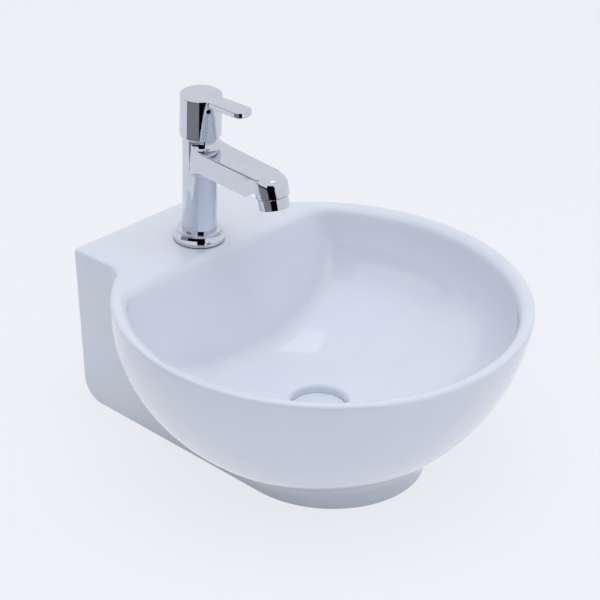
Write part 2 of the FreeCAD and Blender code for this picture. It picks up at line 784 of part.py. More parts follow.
def waste_cap():
    """Plug's top: a shallow dome with an upright edge."""
    edge = cap_base + cap_thickness
    crown = edge + cap_crown
    dome_radius = (cap_radius ** 2 + cap_crown ** 2) / (2 * cap_crown)
    half = cap_radius / 2
    middle = crown - dome_radius + math.sqrt(dome_radius ** 2 - half ** 2)
    outline = [(0, cap_base), (cap_radius, cap_base), (cap_radius, edge), (0, crown, half, middle)]
    body = turned(outline, bowl_y)
    rim = [e for e in body.Edges if abs(e.BoundBox.ZMin - edge) < 0.01 and e.BoundBox.ZLength < 0.01]
    return body.makeFillet(cap_edge_round, rim)


def plug_seal():
    low = waste_top + plug_seal_gap
    return ring(plug_seal_radius, plate_radius, low, cap_base, bowl_y)


def plug_stem():
    """Plate under the plug's cap, with a stem and the collar that bears on the spring."""
    body = disc(plate_radius, plate_base, cap_base, bowl_y)
    body = body.fuse(disc(stem_radius, plate_base - stem_length, plate_base, bowl_y))
    return body.fuse(disc(collar_radius, collar_top - collar_thickness, collar_top, bowl_y))


def waste_stack():
    """Cone washer, slip washer and lugged nut under the basin."""
    bore = waste_radius + thread_clearance
    cone = Part.makeCone(cone_washer_radius - cone_washer_taper, cone_washer_radius, cone_washer_height,
                         vec(0, bowl_y, cone_washer_base))
    nut_low = slip_washer_base - waste_nut_height
    nut = disc(waste_nut_radius, nut_low, slip_washer_base, bowl_y)
    for k in range(waste_nut_lugs):
        lug = Part.makeBox(waste_nut_radius + waste_nut_lug, waste_nut_lug_width, waste_nut_height,
                           vec(0, bowl_y - waste_nut_lug_width / 2, nut_low))
        lug.rotate(vec(0, bowl_y, 0), vec(0, 0, 1), 360 * k / waste_nut_lugs)
        nut = nut.fuse(lug)
    through = disc(bore, nut_low - over, pad_underside + over, bowl_y)
    return {
        "waste_cone_washer": cone.cut(through),
        "waste_slip_washer": ring(slip_washer_radius, bore, slip_washer_base, cone_washer_base, bowl_y),
        "waste_backnut": nut.removeSplitter().cut(through),
    }


def spring_path(low, high):
    """Helix as two arcs to each quarter turn, joined smoothly."""
    steps = 4 * spring_turns
    pitch = (high - low) / spring_turns
    climb = pitch / (2 * math.pi * spring_radius)

    def place(k):
        a = math.pi / 2 * k
        z = low + (high - low) * k / steps
        return vec(spring_radius * math.cos(a), bowl_y + spring_radius * math.sin(a), z)

    def heading(k):
        a = math.pi / 2 * k
        return vec(-math.sin(a), math.cos(a), climb).normalize()

    edges = []
    for k in range(steps):
        start, end, first, last = place(k), place(k + 1), heading(k), heading(k + 1)
        chord, both = end - start, first + last
        lead = chord.dot(both)
        spread = 2 * (1 - first.dot(last))
        reach = (-lead + math.sqrt(lead ** 2 + spread * chord.dot(chord))) / spread
        joint = (start + end + (first - last) * reach) * 0.5
        edges.append(arc_from(start, first, joint))
        edges.append(arc_from(joint, (joint - start - first * reach).normalize(), end))
    return edges


def arc_from(start, heading, end):
    """Arc that leaves the start along the heading and ends at the end."""
    chord = end - start
    side = chord - heading * chord.dot(heading)
    side.normalize()
    radius = chord.dot(chord) / (2 * chord.dot(side))
    half = math.asin(chord.Length / (2 * radius))
    middle = start + heading * (radius * math.sin(half)) + side * (radius * (1 - math.cos(half)))
    return Part.Arc(start, middle, end).toShape()


def least_gap(path):
    """Least space between two turns of the spring's wire, from points along its centreline."""
    per_turn = 24
    points = path.discretize(per_turn * spring_turns + 1)
    apart = [a.distanceToPoint(b) for k, a in enumerate(points) for b in points[k + per_turn // 2:]]
    return min(apart) - spring_wire


def click_spring():
    low = spider_top + spring_end_gap + spring_wire / 2
    high = collar_top - collar_thickness - spring_end_gap - spring_wire / 2
    path = Part.Wire(spring_path(low, high))
    print("click_spring: least gap between turns", round(least_gap(path), 2), "mm")
    start = vec(spring_radius, bowl_y, low)
    section = Part.Wire(Part.Circle(start, path.Edges[0].tangentAt(path.Edges[0].FirstParameter),
                                    spring_wire / 2).toShape())
    return path.makePipeShell([section], True, False)


if __name__ == "__main__":
    os.makedirs("parts", exist_ok=True)
    save("basin_body", basin_body())
    save("tap_body", tap_body())
    save("tap_base_gasket", tap_base_gasket())
    save("tap_base_ring", tap_base_ring())
    save("inlet_shank", inlet_shank())
    for node, solid in shank_stack().items():
        save(node, solid)
    save("valve_body", valve_body())
    save("valve_seal", valve_seal())
    save("fixed_ceramic_disc", fixed_disc())
    save("moving_ceramic_disc", moving_disc())
    save("valve_spindle", valve_spindle())
    save("spindle_o_rings", *spindle_rings())
    save("handle", handle())
    save("handle_grub_screw", handle_grub_screw())
    save("aerator_housing", aerator_housing())
    save("aerator_washer", aerator_washer())
    save("aerator_insert", aerator_insert())
    save("aerator_screen", aerator_screen())
    save("waste_flange_seal", waste_flange_seal())
    save("waste_flange", waste_flange())
    save("waste_body", waste_body())
    save("click_housing", click_housing())
    save("click_spring", click_spring())
    save("waste_cap", waste_cap())
    save("plug_seal", plug_seal())
    save("plug_stem", plug_stem())
    for node, solid in waste_stack().items():
        save(node, solid)
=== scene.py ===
import json
import math

import bmesh
import bpy
from mathutils import Matrix, Vector


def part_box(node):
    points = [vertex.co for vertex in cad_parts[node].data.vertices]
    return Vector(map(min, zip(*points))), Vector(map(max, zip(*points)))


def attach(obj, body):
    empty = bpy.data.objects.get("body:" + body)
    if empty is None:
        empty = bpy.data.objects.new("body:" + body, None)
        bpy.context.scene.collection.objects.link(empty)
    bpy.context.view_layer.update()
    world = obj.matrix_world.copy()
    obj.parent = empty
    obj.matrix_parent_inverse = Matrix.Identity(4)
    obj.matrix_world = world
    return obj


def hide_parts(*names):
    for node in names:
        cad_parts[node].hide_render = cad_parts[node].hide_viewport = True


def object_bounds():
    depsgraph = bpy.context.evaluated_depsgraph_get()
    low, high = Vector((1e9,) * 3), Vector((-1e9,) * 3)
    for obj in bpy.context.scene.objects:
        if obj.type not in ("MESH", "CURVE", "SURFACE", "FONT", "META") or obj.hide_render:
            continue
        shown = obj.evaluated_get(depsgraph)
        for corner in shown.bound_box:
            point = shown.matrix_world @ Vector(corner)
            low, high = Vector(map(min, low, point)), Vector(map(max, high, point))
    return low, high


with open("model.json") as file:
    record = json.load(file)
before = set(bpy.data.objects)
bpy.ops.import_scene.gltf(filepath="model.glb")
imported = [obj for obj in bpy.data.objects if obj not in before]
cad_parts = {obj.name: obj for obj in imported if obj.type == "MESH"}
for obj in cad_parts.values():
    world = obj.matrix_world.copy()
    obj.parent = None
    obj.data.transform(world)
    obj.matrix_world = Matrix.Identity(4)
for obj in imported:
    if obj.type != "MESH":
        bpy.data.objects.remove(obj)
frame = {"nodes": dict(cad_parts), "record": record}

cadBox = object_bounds()
print("loaded", len(frame["nodes"]), "CAD nodes")

# All lengths are in metres, as in the CAD model. The wall face is at y = 0, and the basin stands out
# towards -y. The origin is between the two wall fixing holes.
floorHeight = cadBox[0][2]
tapAxis = (0.0, -0.065)
bowlAxis = (0.0, -0.231)


def toLinear(hexColour):
    # the sRGB curve, from a hex value to Blender's linear colour
    channels = [int(hexColour[k:k + 2], 16) / 255 for k in (0, 2, 4)]
    linear = [c / 12.92 if c <= 0.04045 else ((c + 0.055) / 1.055) ** 2.4 for c in channels]
    return (*linear, 1.0)


def addNode(tree, kind, links=None, values=None, **settings):
    node = tree.nodes.new(kind)
    for name, value in settings.items():
        setattr(node, name, value)
    for name, value in (values or {}).items():
        node.inputs[name].default_value = value
    for name, source in (links or {}).items():
        tree.links.new(source, node.inputs[name])
    return node


camera = {
    "azimuth": -47.37, "elevation": 29.0, "roll": 1.89,  # degrees
    "target": (0.0, -0.2014, 0.0449),
    "distance": 2.67,
    "lens": 168.6, "sensorWidth": 36.0,                  # mm
    "farthest": 100.0,
}


def placeCamera(c):
    azimuth, elevation, roll = (math.radians(c[k]) for k in ("azimuth", "elevation", "roll"))
    back = Vector((math.sin(azimuth) * math.cos(elevation),
                   -math.cos(azimuth) * math.cos(elevation),
                   math.sin(elevation)))
    level = Vector((math.cos(azimuth), math.sin(azimuth), 0))
    plumb = back.cross(level)
    right = level * math.cos(roll) + plumb * math.sin(roll)
    up = plumb * math.cos(roll) - level * math.sin(roll)
    data = bpy.data.cameras.new("photoCamera")
    data.lens = c["lens"]
    data.sensor_width = c["sensorWidth"]
    data.clip_end = c["farthest"]
    camObj = bpy.data.objects.new("photoCamera", data)
    place = Vector(c["target"]) + back * c["distance"]
    turned = Matrix((right, up, back)).transposed().to_4x4()
    camObj.matrix_world = Matrix.Translation(place) @ turned
    bpy.context.scene.collection.objects.link(camObj)
    bpy.context.scene.camera = camObj


studio = {
    "background": "EEF0F4",
    "ambient": 0.51,          # what the world adds to matt surfaces
    "floorSize": 30.0,
    "lampTint": "F0F5FF",
    "floorPaper": "F2F4F8",   # where it is lit
    "floorGlow": "F3F5F9",    # what the camera adds to it, so that it meets the background
    "floorShade": 0.18,       # share of the floor's look that takes the object's shadow
    "lamps": {
        # name: (place, aim, width, height, brightness, shows in reflections)
        "overheadSoftbox": ((-0.6, -0.85, 2.5), (-0.35, -0.5, 0.0), 2.8, 2.8, 0.93, False),
        "ceilingSoftbox": ((0.2, -0.2, 2.5), (0.1, -0.2, 0.0), 1.6, 1.6, 1.6, False),
        "sideSoftbox": ((2.0, -1.6, 1.0), (0.0, -0.2, 0.0), 1.2, 1.2, 0.85, False),
        "windowBehind": ((1.03, 0.58, 1.90), (0.06, -0.15, 0.0), 0.2, 0.62, 1.25, True),
    },
}


def meshObject(name, corners, faces, material):
    mesh = bpy.data.meshes.new(name)
    mesh.from_pydata(corners, [], faces)
    mesh.materials.append(material)
    obj = bpy.data.objects.new(name, mesh)
    bpy.context.scene.collection.objects.link(obj)
    return obj


def newMaterial(name):
    material = bpy.data.materials.new(name)
    material.use_nodes = True
    material.node_tree.nodes.clear()
    return material


def closeMaterial(material, shader):
    addNode(material.node_tree, "ShaderNodeOutputMaterial", {"Surface": shader.outputs[0]})
    return material


def seenDirectly(tree):
    # 1 for what the camera sees, straight, in a reflection or through glass
    path = addNode(tree, "ShaderNodeLightPath").outputs
    mirrored = addNode(tree, "ShaderNodeMath", {0: path["Is Camera Ray"], 1: path["Is Glossy Ray"]},
                       operation="MAXIMUM")
    through = addNode(tree, "ShaderNodeMath", {0: mirrored.outputs[0], 1: path["Is Transmission Ray"]},
                      operation="MAXIMUM")
    return through.outputs[0]


def floorPaper(s):
    # pale seamless paper: matt, with the object's soft shadow on it
    material = newMaterial("paleStudioPaper")
    tree = material.node_tree
    matt = addNode(tree, "ShaderNodeBsdfDiffuse", values={"Color": toLinear(s["floorPaper"])})
    glow = addNode(tree, "ShaderNodeEmission",
                   values={"Color": toLinear(s["floorGlow"]), "Strength": 1.0})
    share = addNode(tree, "ShaderNodeMath", {0: seenDirectly(tree)}, {1: 1.0 - s["floorShade"]},
                    operation="MULTIPLY")
    mix = addNode(tree, "ShaderNodeMixShader",
                  {0: share.outputs[0], 1: matt.outputs[0], 2: glow.outputs[0]})
    return closeMaterial(material, mix)


def buildStudio(s):
    half = s["floorSize"] / 2
    corners = [(x, y, floorHeight) for x, y in ((-half, -half), (half, -half), (half, half), (-half, half))]
    meshObject("studioFloor", corners, [(0, 1, 2, 3)], floorPaper(s))

    world = bpy.data.worlds.new("paleStudio")
    world.use_nodes = True
    tree = world.node_tree
    tree.nodes.clear()
    colour = toLinear(s["background"])
    seen = addNode(tree, "ShaderNodeBackground", values={"Color": colour, "Strength": 1.0})
    lit = addNode(tree, "ShaderNodeBackground", values={"Color": colour, "Strength": s["ambient"]})
    mix = addNode(tree, "ShaderNodeMixShader",
                  {0: seenDirectly(tree), 1: lit.outputs[0], 2: seen.outputs[0]})
    addNode(tree, "ShaderNodeOutputWorld", {"Surface": mix.outputs[0]})
    bpy.context.scene.world = world

    for name, (place, aim, width, height, brightness, shows) in s["lamps"].items():
        data = bpy.data.lights.new(name, "AREA")
        data.shape = "RECTANGLE"
        data.size = width
        data.size_y = height
        data.energy = brightness * math.pi * width * height  # so its face has that brightness
        data.color = toLinear(s["lampTint"])[:3]
        lamp = bpy.data.objects.new(name, data)
        turned = (Vector(place) - Vector(aim)).to_track_quat("Z", "Y").to_matrix().to_4x4()
        lamp.matrix_world = Matrix.Translation(Vector(place)) @ turned
        lamp.visible_glossy = shows
        bpy.context.scene.collection.objects.link(lamp)


# Boards round the tap that only reflections show, each a glowing sheet of one painted tone and no lamp: its
# chrome mirrors their dark and pale bands as painted reflections.
# Bearings are degrees round the tap from the camera's side, to the right; heights are above the floor.
boards = {
    "reach": 0.50,            # from the tap's axis
    "facets": 10,
    "pieces": {
        # name: (first bearing, last bearing, lower edge at each, upper edge at each, colour)
        "greyLowBoard": (-77.0, -7.0, 0.0, 0.0, 0.17, 0.17, "8A898E"),
        "blackLowBoard": (-7.0, 33.0, 0.0, 0.055, 0.17, 0.17, "060607"),
        "blackWideBoard": (-52.0, 30.0, 0.17, 0.17, 0.42, 0.42, "08080A"),
        "whiteLowBoard": (33.0, 62.0, 0.0, 0.0, 0.17, 0.17, "FFFFFF"),
        "greySideBoard": (-90.0, -52.0, 0.17, 0.17, 0.42, 0.42, "8A8A90"),
        "blackTallBoard": (-8.0, 32.0, 0.42, 0.42, 0.95, 0.95, "08080A"),
    },
}


def buildBoards(b):
    for name, (start, end, lowStart, lowEnd, highStart, highEnd, colour) in b["pieces"].items():
        # a glowing sheet, no lamp: one even painted tone, seen only in reflections, which mirror it as it
        # is written
        material = newMaterial(name + "ReflectionGlow")
        glow = addNode(material.node_tree, "ShaderNodeEmission",
                       values={"Color": toLinear(colour), "Strength": 1.0})
        closeMaterial(material, glow)
        corners = []
        for k in range(b["facets"] + 1):
            share = k / b["facets"]
            bearing = math.radians(camera["azimuth"] + start + (end - start) * share)
            x = tapAxis[0] + b["reach"] * math.sin(bearing)
            y = tapAxis[1] - b["reach"] * math.cos(bearing)
            corners.append((x, y, floorHeight + lowStart + (lowEnd - lowStart) * share))
            corners.append((x, y, floorHeight + highStart + (highEnd - highStart) * share))
        faces = [(2 * k, 2 * k + 2, 2 * k + 3, 2 * k + 1) for k in range(b["facets"])]
        obj = meshObject(name, corners, faces, material)
        obj.visible_camera = obj.visible_diffuse = obj.visible_shadow = False
        obj.visible_transmission = obj.visible_volume_scatter = False


placeCamera(camera)
buildStudio(studio)
buildBoards(boards)
print("camera, floor and lamps are set")


# Sizes in the looks are in millimetres.

def perMetre(sizeMm):
    # the scale of a noise whose blotches are that far apart
    return 1000.0 / sizeMm


# Noise values lie mostly between these, so they are spread from here.
noiseRange = {"From Min": 0.3, "From Max": 0.7}


def mottledColour(tree, noise, first, second):
    # drifts between two close colours with the noise; a Mix node's colours are its inputs 6 and 7
    share = addNode(tree, "ShaderNodeMapRange", {"Value": noise.outputs["Fac"]}, noiseRange)
    mix = addNode(tree, "ShaderNodeMix", {"Factor": share.outputs["Result"]},
                  {6: toLinear(first), 7: toLinear(second)}, data_type="RGBA")
    return mix.outputs[2]


glazedChinaLook = {
    "white": "EBF0F8", "shade": "E8EDF6", "blotch": 60.0,
    "wave": 26.0, "waveDepth": 0.02,                  # slow waves of the fired glaze
    "mottle": 8.0, "smoothest": 0.30, "roughest": 0.36, "specular": 0.3, "ior": 1.5,  # body under the glaze
    "glazeRoughness": 0.03, "glazeIor": 1.52,
}


def glazedVitreousChina(look):
    # vitreous china under a fired glaze: deep even white, sharp reflections that swim a little
    material = newMaterial("glazedVitreousChina")
    tree = material.node_tree
    place = addNode(tree, "ShaderNodeTexCoord").outputs["Object"]
    blotch = addNode(tree, "ShaderNodeTexNoise", {"Vector": place}, {"Scale": perMetre(look["blotch"])})
    colour = mottledColour(tree, blotch, look["white"], look["shade"])
    wave = addNode(tree, "ShaderNodeTexNoise", {"Vector": place},
                   {"Scale": perMetre(look["wave"]), "Detail": 1.0})
    swim = addNode(tree, "ShaderNodeBump", {"Height": wave.outputs["Fac"]},
                   {"Distance": look["waveDepth"] / 1000})
    body = addNode(tree, "ShaderNodeTexNoise", {"Vector": place}, {"Scale": perMetre(look["mottle"])})
    rough = addNode(tree, "ShaderNodeMapRange", {"Value": body.outputs["Fac"]},
                    {**noiseRange, "To Min": look["smoothest"], "To Max": look["roughest"]})
    shader = addNode(tree, "ShaderNodeBsdfPrincipled",
                     {"Base Color": colour, "Roughness": rough.outputs["Result"],
                      "Coat Normal": swim.outputs["Normal"]},
                     {"Coat Weight": 1.0, "Coat Roughness": look["glazeRoughness"],
                      "Coat IOR": look["glazeIor"], "Specular IOR Level": look["specular"],
                      "IOR": look["ior"]})
    return closeMaterial(material, shader)


enamelLook = {
    "white": "EBF0F8", "shade": "E6EBF5", "blotch": 20.0,
    "peel": 5.0, "peelDepth": 0.004,
    "roughness": 0.14, "ior": 1.52, "coat": 0.6, "coatRoughness": 0.05,
}


def bakedWhiteEnamel(look):
    # white enamel baked on metal: as white as the glaze, with a shallow orange peel
    material = newMaterial("bakedWhiteEnamel")
    tree = material.node_tree
    place = addNode(tree, "ShaderNodeTexCoord").outputs["Object"]
    blotch = addNode(tree, "ShaderNodeTexNoise", {"Vector": place}, {"Scale": perMetre(look["blotch"])})
    colour = mottledColour(tree, blotch, look["white"], look["shade"])
    skin = addNode(tree, "ShaderNodeTexNoise", {"Vector": place},
                   {"Scale": perMetre(look["peel"]), "Detail": 1.0})
    peel = addNode(tree, "ShaderNodeBump", {"Height": skin.outputs["Fac"]},
                   {"Distance": look["peelDepth"] / 1000})
    shader = addNode(tree, "ShaderNodeBsdfPrincipled",
                     {"Base Color": colour, "Normal": peel.outputs["Normal"]},
                     {"Roughness": look["roughness"], "IOR": look["ior"], "Coat Weight": look["coat"],
                      "Coat Roughness": look["coatRoughness"]})
    return closeMaterial(material, shader)


chromeLook = {"bright": "D3D6DF", "dull": "CED2DB", "blotch": 14.0, "smoothest": 0.03, "roughest": 0.06}


def polishedChromePlate(look):
    # chrome over polished brass: a cold mirror, with a trace of softness where hands have wiped it
    material = newMaterial("polishedChromePlate")
    tree = material.node_tree
    place = addNode(tree, "ShaderNodeTexCoord").outputs["Object"]
    wiped = addNode(tree, "ShaderNodeTexNoise", {"Vector": place}, {"Scale": perMetre(look["blotch"])})
    colour = mottledColour(tree, wiped, look["bright"], look["dull"])
    rough = addNode(tree, "ShaderNodeMapRange", {"Value": wiped.outputs["Fac"]},
                    {**noiseRange, "To Min": look["smoothest"], "To Max": look["roughest"]})
    shader = addNode(tree, "ShaderNodeBsdfPrincipled",
                     {"Base Color": colour, "Roughness": rough.outputs["Result"]}, {"Metallic": 1.0})
    return closeMaterial(material, shader)


brassLook = {
    "bright": "C9A45C", "dull": "A8803E", "blotch": 9.0, "smoothest": 0.2, "roughest": 0.34,
    "pitch": 0.5, "wobble": 0.6, "markDepth": 0.02, "markStrength": 0.5,  # lathe lines
}


def machinedBrass(look):
    # turned brass, not plated: warm yellow with level lathe lines, coarser than real so that they show
    material = newMaterial("machinedBrass")
    tree = material.node_tree
    place = addNode(tree, "ShaderNodeTexCoord").outputs["Object"]
    stains = addNode(tree, "ShaderNodeTexNoise", {"Vector": place},
                     {"Scale": perMetre(look["blotch"]), "Detail": 3.0})
    colour = mottledColour(tree, stains, look["bright"], look["dull"])
    rough = addNode(tree, "ShaderNodeMapRange", {"Value": stains.outputs["Fac"]},
                    {**noiseRange, "To Min": look["smoothest"], "To Max": look["roughest"]})
    # a wave texture repeats every pi / 10 at scale 1
    lines = addNode(tree, "ShaderNodeTexWave", {"Vector": place},
                    {"Scale": perMetre(look["pitch"]) * math.pi / 10, "Distortion": look["wobble"],
                     "Detail": 1.0}, bands_direction="Z")
    marks = addNode(tree, "ShaderNodeBump", {"Height": lines.outputs["Fac"]},
                    {"Strength": look["markStrength"], "Distance": look["markDepth"] / 1000})
    shader = addNode(tree, "ShaderNodeBsdfPrincipled",
                     {"Base Color": colour, "Roughness": rough.outputs["Result"],
                      "Normal": marks.outputs["Normal"]}, {"Metallic": 1.0})
    return closeMaterial(material, shader)


steelLook = {
    "bright": "C6C8CC", "dull": "B2B5BA", "smoothest": 0.22, "roughest": 0.38,
    "grain": 6.0, "stretch": 12.0, "grainDepth": 0.01, "grainStrength": 0.4,
}


def stainlessSteel(look):
    # pressed and drawn stainless steel: grey metal with a short-grained sheen
    material = newMaterial("stainlessSteel")
    tree = material.node_tree
    place = addNode(tree, "ShaderNodeTexCoord").outputs["Object"]
    along = addNode(tree, "ShaderNodeMapping", {"Vector": place}, {"Scale": (1.0, look["stretch"], 1.0)})
    grain = addNode(tree, "ShaderNodeTexNoise", {"Vector": along.outputs[0]},
                    {"Scale": perMetre(look["grain"]), "Detail": 4.0})
    colour = mottledColour(tree, grain, look["bright"], look["dull"])
    rough = addNode(tree, "ShaderNodeMapRange", {"Value": grain.outputs["Fac"]},
                    {**noiseRange, "To Min": look["smoothest"], "To Max": look["roughest"]})
    sheen = addNode(tree, "ShaderNodeBump", {"Height": grain.outputs["Fac"]},
                    {"Strength": look["grainStrength"], "Distance": look["grainDepth"] / 1000})
    shader = addNode(tree, "ShaderNodeBsdfPrincipled",
                     {"Base Color": colour, "Roughness": rough.outputs["Result"],
                      "Normal": sheen.outputs["Normal"]}, {"Metallic": 1.0})
    return closeMaterial(material, shader)


aluminaLook = {"white": "EEEBE2", "shade": "E4DFD3", "speck": 1.2, "smoothest": 0.3, "roughest": 0.42,
               "ior": 1.76}


def lappedAlumina(look):
    # fine-grained alumina, lapped flat: warm white with a dull satin face
    material = newMaterial("lappedAlumina")
    tree = material.node_tree
    place = addNode(tree, "ShaderNodeTexCoord").outputs["Object"]
    specks = addNode(tree, "ShaderNodeTexNoise", {"Vector": place},
                     {"Scale": perMetre(look["speck"]), "Detail": 3.0})
    colour = mottledColour(tree, specks, look["white"], look["shade"])
    rough = addNode(tree, "ShaderNodeMapRange", {"Value": specks.outputs["Fac"]},
                    {**noiseRange, "To Min": look["smoothest"], "To Max": look["roughest"]})
    shader = addNode(tree, "ShaderNodeBsdfPrincipled",
                     {"Base Color": colour, "Roughness": rough.outputs["Result"]}, {"IOR": look["ior"]})
    return closeMaterial(material, shader)


rubberLook = {
    "black": "17171A", "worn": "242428", "blotch": 7.0, "roughness": 0.62, "ior": 1.5,
    "grain": 0.6, "grainDepth": 0.02, "grainStrength": 0.5,
    "dust": 0.1, "dustRoughness": 0.5,
}


def blackSealRubber(look):
    # moulded EPDM: near black and matt, with a fine dusty grain
    material = newMaterial("blackSealRubber")
    tree = material.node_tree
    place = addNode(tree, "ShaderNodeTexCoord").outputs["Object"]
    wear = addNode(tree, "ShaderNodeTexNoise", {"Vector": place},
                   {"Scale": perMetre(look["blotch"]), "Detail": 3.0})
    colour = mottledColour(tree, wear, look["black"], look["worn"])
    fine = addNode(tree, "ShaderNodeTexNoise", {"Vector": place}, {"Scale": perMetre(look["grain"])})
    grain = addNode(tree, "ShaderNodeBump", {"Height": fine.outputs["Fac"]},
                    {"Strength": look["grainStrength"], "Distance": look["grainDepth"] / 1000})
    shader = addNode(tree, "ShaderNodeBsdfPrincipled",
                     {"Base Color": colour, "Normal": grain.outputs["Normal"]},
                     {"Roughness": look["roughness"], "IOR": look["ior"], "Sheen Weight": look["dust"],
                      "Sheen Roughness": look["dustRoughness"]})
    return closeMaterial(material, shader)


acetalLook = {
    "grey": "A3A6AC", "shade": "9A9DA4", "blotch": 12.0, "roughness": 0.38, "ior": 1.48,
    "grain": 0.8, "grainDepth": 0.012, "grainStrength": 0.5,
}


def mouldedGreyAcetal(look):
    # injection-moulded acetal: even grey, half gloss, with a fine spark-eroded grain
    material = newMaterial("mouldedGreyAcetal")
    tree = material.node_tree
    place = addNode(tree, "ShaderNodeTexCoord").outputs["Object"]
    flow = addNode(tree, "ShaderNodeTexNoise", {"Vector": place}, {"Scale": perMetre(look["blotch"])})
    colour = mottledColour(tree, flow, look["grey"], look["shade"])
    fine = addNode(tree, "ShaderNodeTexNoise", {"Vector": place}, {"Scale": perMetre(look["grain"])})
    grain = addNode(tree, "ShaderNodeBump", {"Height": fine.outputs["Fac"]},
                    {"Strength": look["grainStrength"], "Distance": look["grainDepth"] / 1000})
    shader = addNode(tree, "ShaderNodeBsdfPrincipled",
                     {"Base Color": colour, "Normal": grain.outputs["Normal"]},
                     {"Roughness": look["roughness"], "IOR": look["ior"]})
    return closeMaterial(material, shader)


finishes = {
    "white_glaze": glazedVitreousChina(glazedChinaLook),
    "white_enamel": bakedWhiteEnamel(enamelLook),
    "chrome": polishedChromePlate(chromeLook),
    "raw_brass": machinedBrass(brassLook),
    "steel": stainlessSteel(steelLook),
    "white_ceramic": lappedAlumina(aluminaLook),
    "black_rubber": blackSealRubber(rubberLook),
    "grey_plastic": mouldedGreyAcetal(acetalLook),
}

slotOfNode = {part["node"]: part["material_slot"] for part in frame["record"]["subparts"]}
for name, obj in frame["nodes"].items():
    finish = finishes[slotOfNode[name]]
    if not obj.material_slots:
        obj.data.materials.append(finish)
    for materialSlot in obj.material_slots:
        materialSlot.material = finish
print("finishes are on", len(frame["nodes"]), "nodes")


# Some CAD nodes are replaced by copies of them with more detail.
copies = {"mergeWithin": 1e-6, "flatUnder": 0.3, "sharpOver": 32.0}  # metres, degrees, degrees


def mergedCopy(node):
    # the CAD node's triangles as one closed mesh, with its flat faces whole
    mesh = bmesh.new()
    mesh.from_mesh(frame["nodes"][node].data)
    bmesh.ops.remove_doubles(mesh, verts=mesh.verts, dist=copies["mergeWithin"])
    bmesh.ops.dissolve_limit(mesh, angle_limit=math.radians(copies["flatUnder"]), verts=mesh.verts,
                             edges=mesh.edges)
    return mesh


def newPiece(mesh, name, node):
    # an object with the node's finish, smooth but for its sharp edges
    data = bpy.data.meshes.new(name)
    mesh.to_mesh(data)
    mesh.free()
    data.materials.clear()
    data.materials.append(finishes[slotOfNode[node]])
    data.shade_smooth()
    data.set_sharp_from_angle(angle=math.radians(copies["sharpOver"]))
    obj = bpy.data.objects.new(name, data)
    bpy.context.scene.collection.objects.link(obj)
    return obj


def finishPiece(obj, node):
    # its modifiers are worked in, and it takes the node's place
    name = obj.name
    graph = bpy.context.evaluated_depsgraph_get()
    result = bpy.data.meshes.new_from_object(obj.evaluated_get(graph))
    obj.modifiers.clear()
    obj.data = result
    obj.name = result.name = name
    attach(obj, "basin")
    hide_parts(node)


# The tap casting gets the soft edges that its polishing left along the top of the spout.
tapCasting = {
    # the spout's flat top slopes down from the tap's axis to the nose, over the reach
    "topAtColumn": 0.1628, "topAtNose": 0.1604, "reach": 0.097,
    "topWithin": 2e-5,
    "leastTurn": 0.5,         # radians that an edge of that top turns by
    "root": 0.018,            # from the tap's axis to where the rounded edges start
    "sideRound": 0.0010,      # along the spout's two top edges
    "noseRound": 0.0060,      # at the front of the nose
    "noseStart": -0.146, "noseEnd": -0.168,  # y where the one grows into the other
    "segments": 6,
}


def buildTapCasting(c):
    mesh = mergedCopy("tap_body")
    weight = mesh.edges.layers.float.new("bevel_weight_edge")
    slope = (c["topAtColumn"] - c["topAtNose"]) / c["reach"]
    for edge in mesh.edges:
        offTop = max(abs(v.co.z - c["topAtColumn"] + slope * (tapAxis[1] - v.co.y)) for v in edge.verts)
        middle = (edge.verts[0].co.y + edge.verts[1].co.y) / 2
        if offTop >= c["topWithin"] or middle >= tapAxis[1] - c["root"] or not edge.is_manifold:
            continue
        if edge.calc_face_angle() > c["leastTurn"]:
            share = min(1.0, max(0.0, (middle - c["noseStart"]) / (c["noseEnd"] - c["noseStart"])))
            share = share * share * (3 - 2 * share)  # eases in and out
            width = c["sideRound"] + (c["noseRound"] - c["sideRound"]) * share
            edge[weight] = width / c["noseRound"]
    obj = newPiece(mesh, "tapCasting", "tap_body")
    bevel = obj.modifiers.new("softEdges", "BEVEL")
    bevel.limit_method = "WEIGHT"
    bevel.width = c["noseRound"]
    bevel.segments = c["segments"]
    bevel.use_clamp_overlap = False
    even = obj.modifiers.new("evenShading", "WEIGHTED_NORMAL")
    even.keep_sharp = True
    finishPiece(obj, "tap_body")


buildTapCasting(tapCasting)
print("tap casting is made")


# Pipe threads are cut into the free ends that a supply and a trap screw on to.
inletThread = {"axis": tapAxis, "length": 0.0330, "radius": 0.01048, "pitch": 0.001814, "depth": 0.0010}
trapThread = {"axis": bowlAxis, "length": 0.0145, "radius": 0.02095, "pitch": 0.002309, "depth": 0.0013}
threads = {
    "cutsPerTurn": 6,
    "sideWithin": 2e-4,       # how near the radius the points lie that are drawn in
    "lowWithin": 1e-5,        # the same at the thread's free end
}


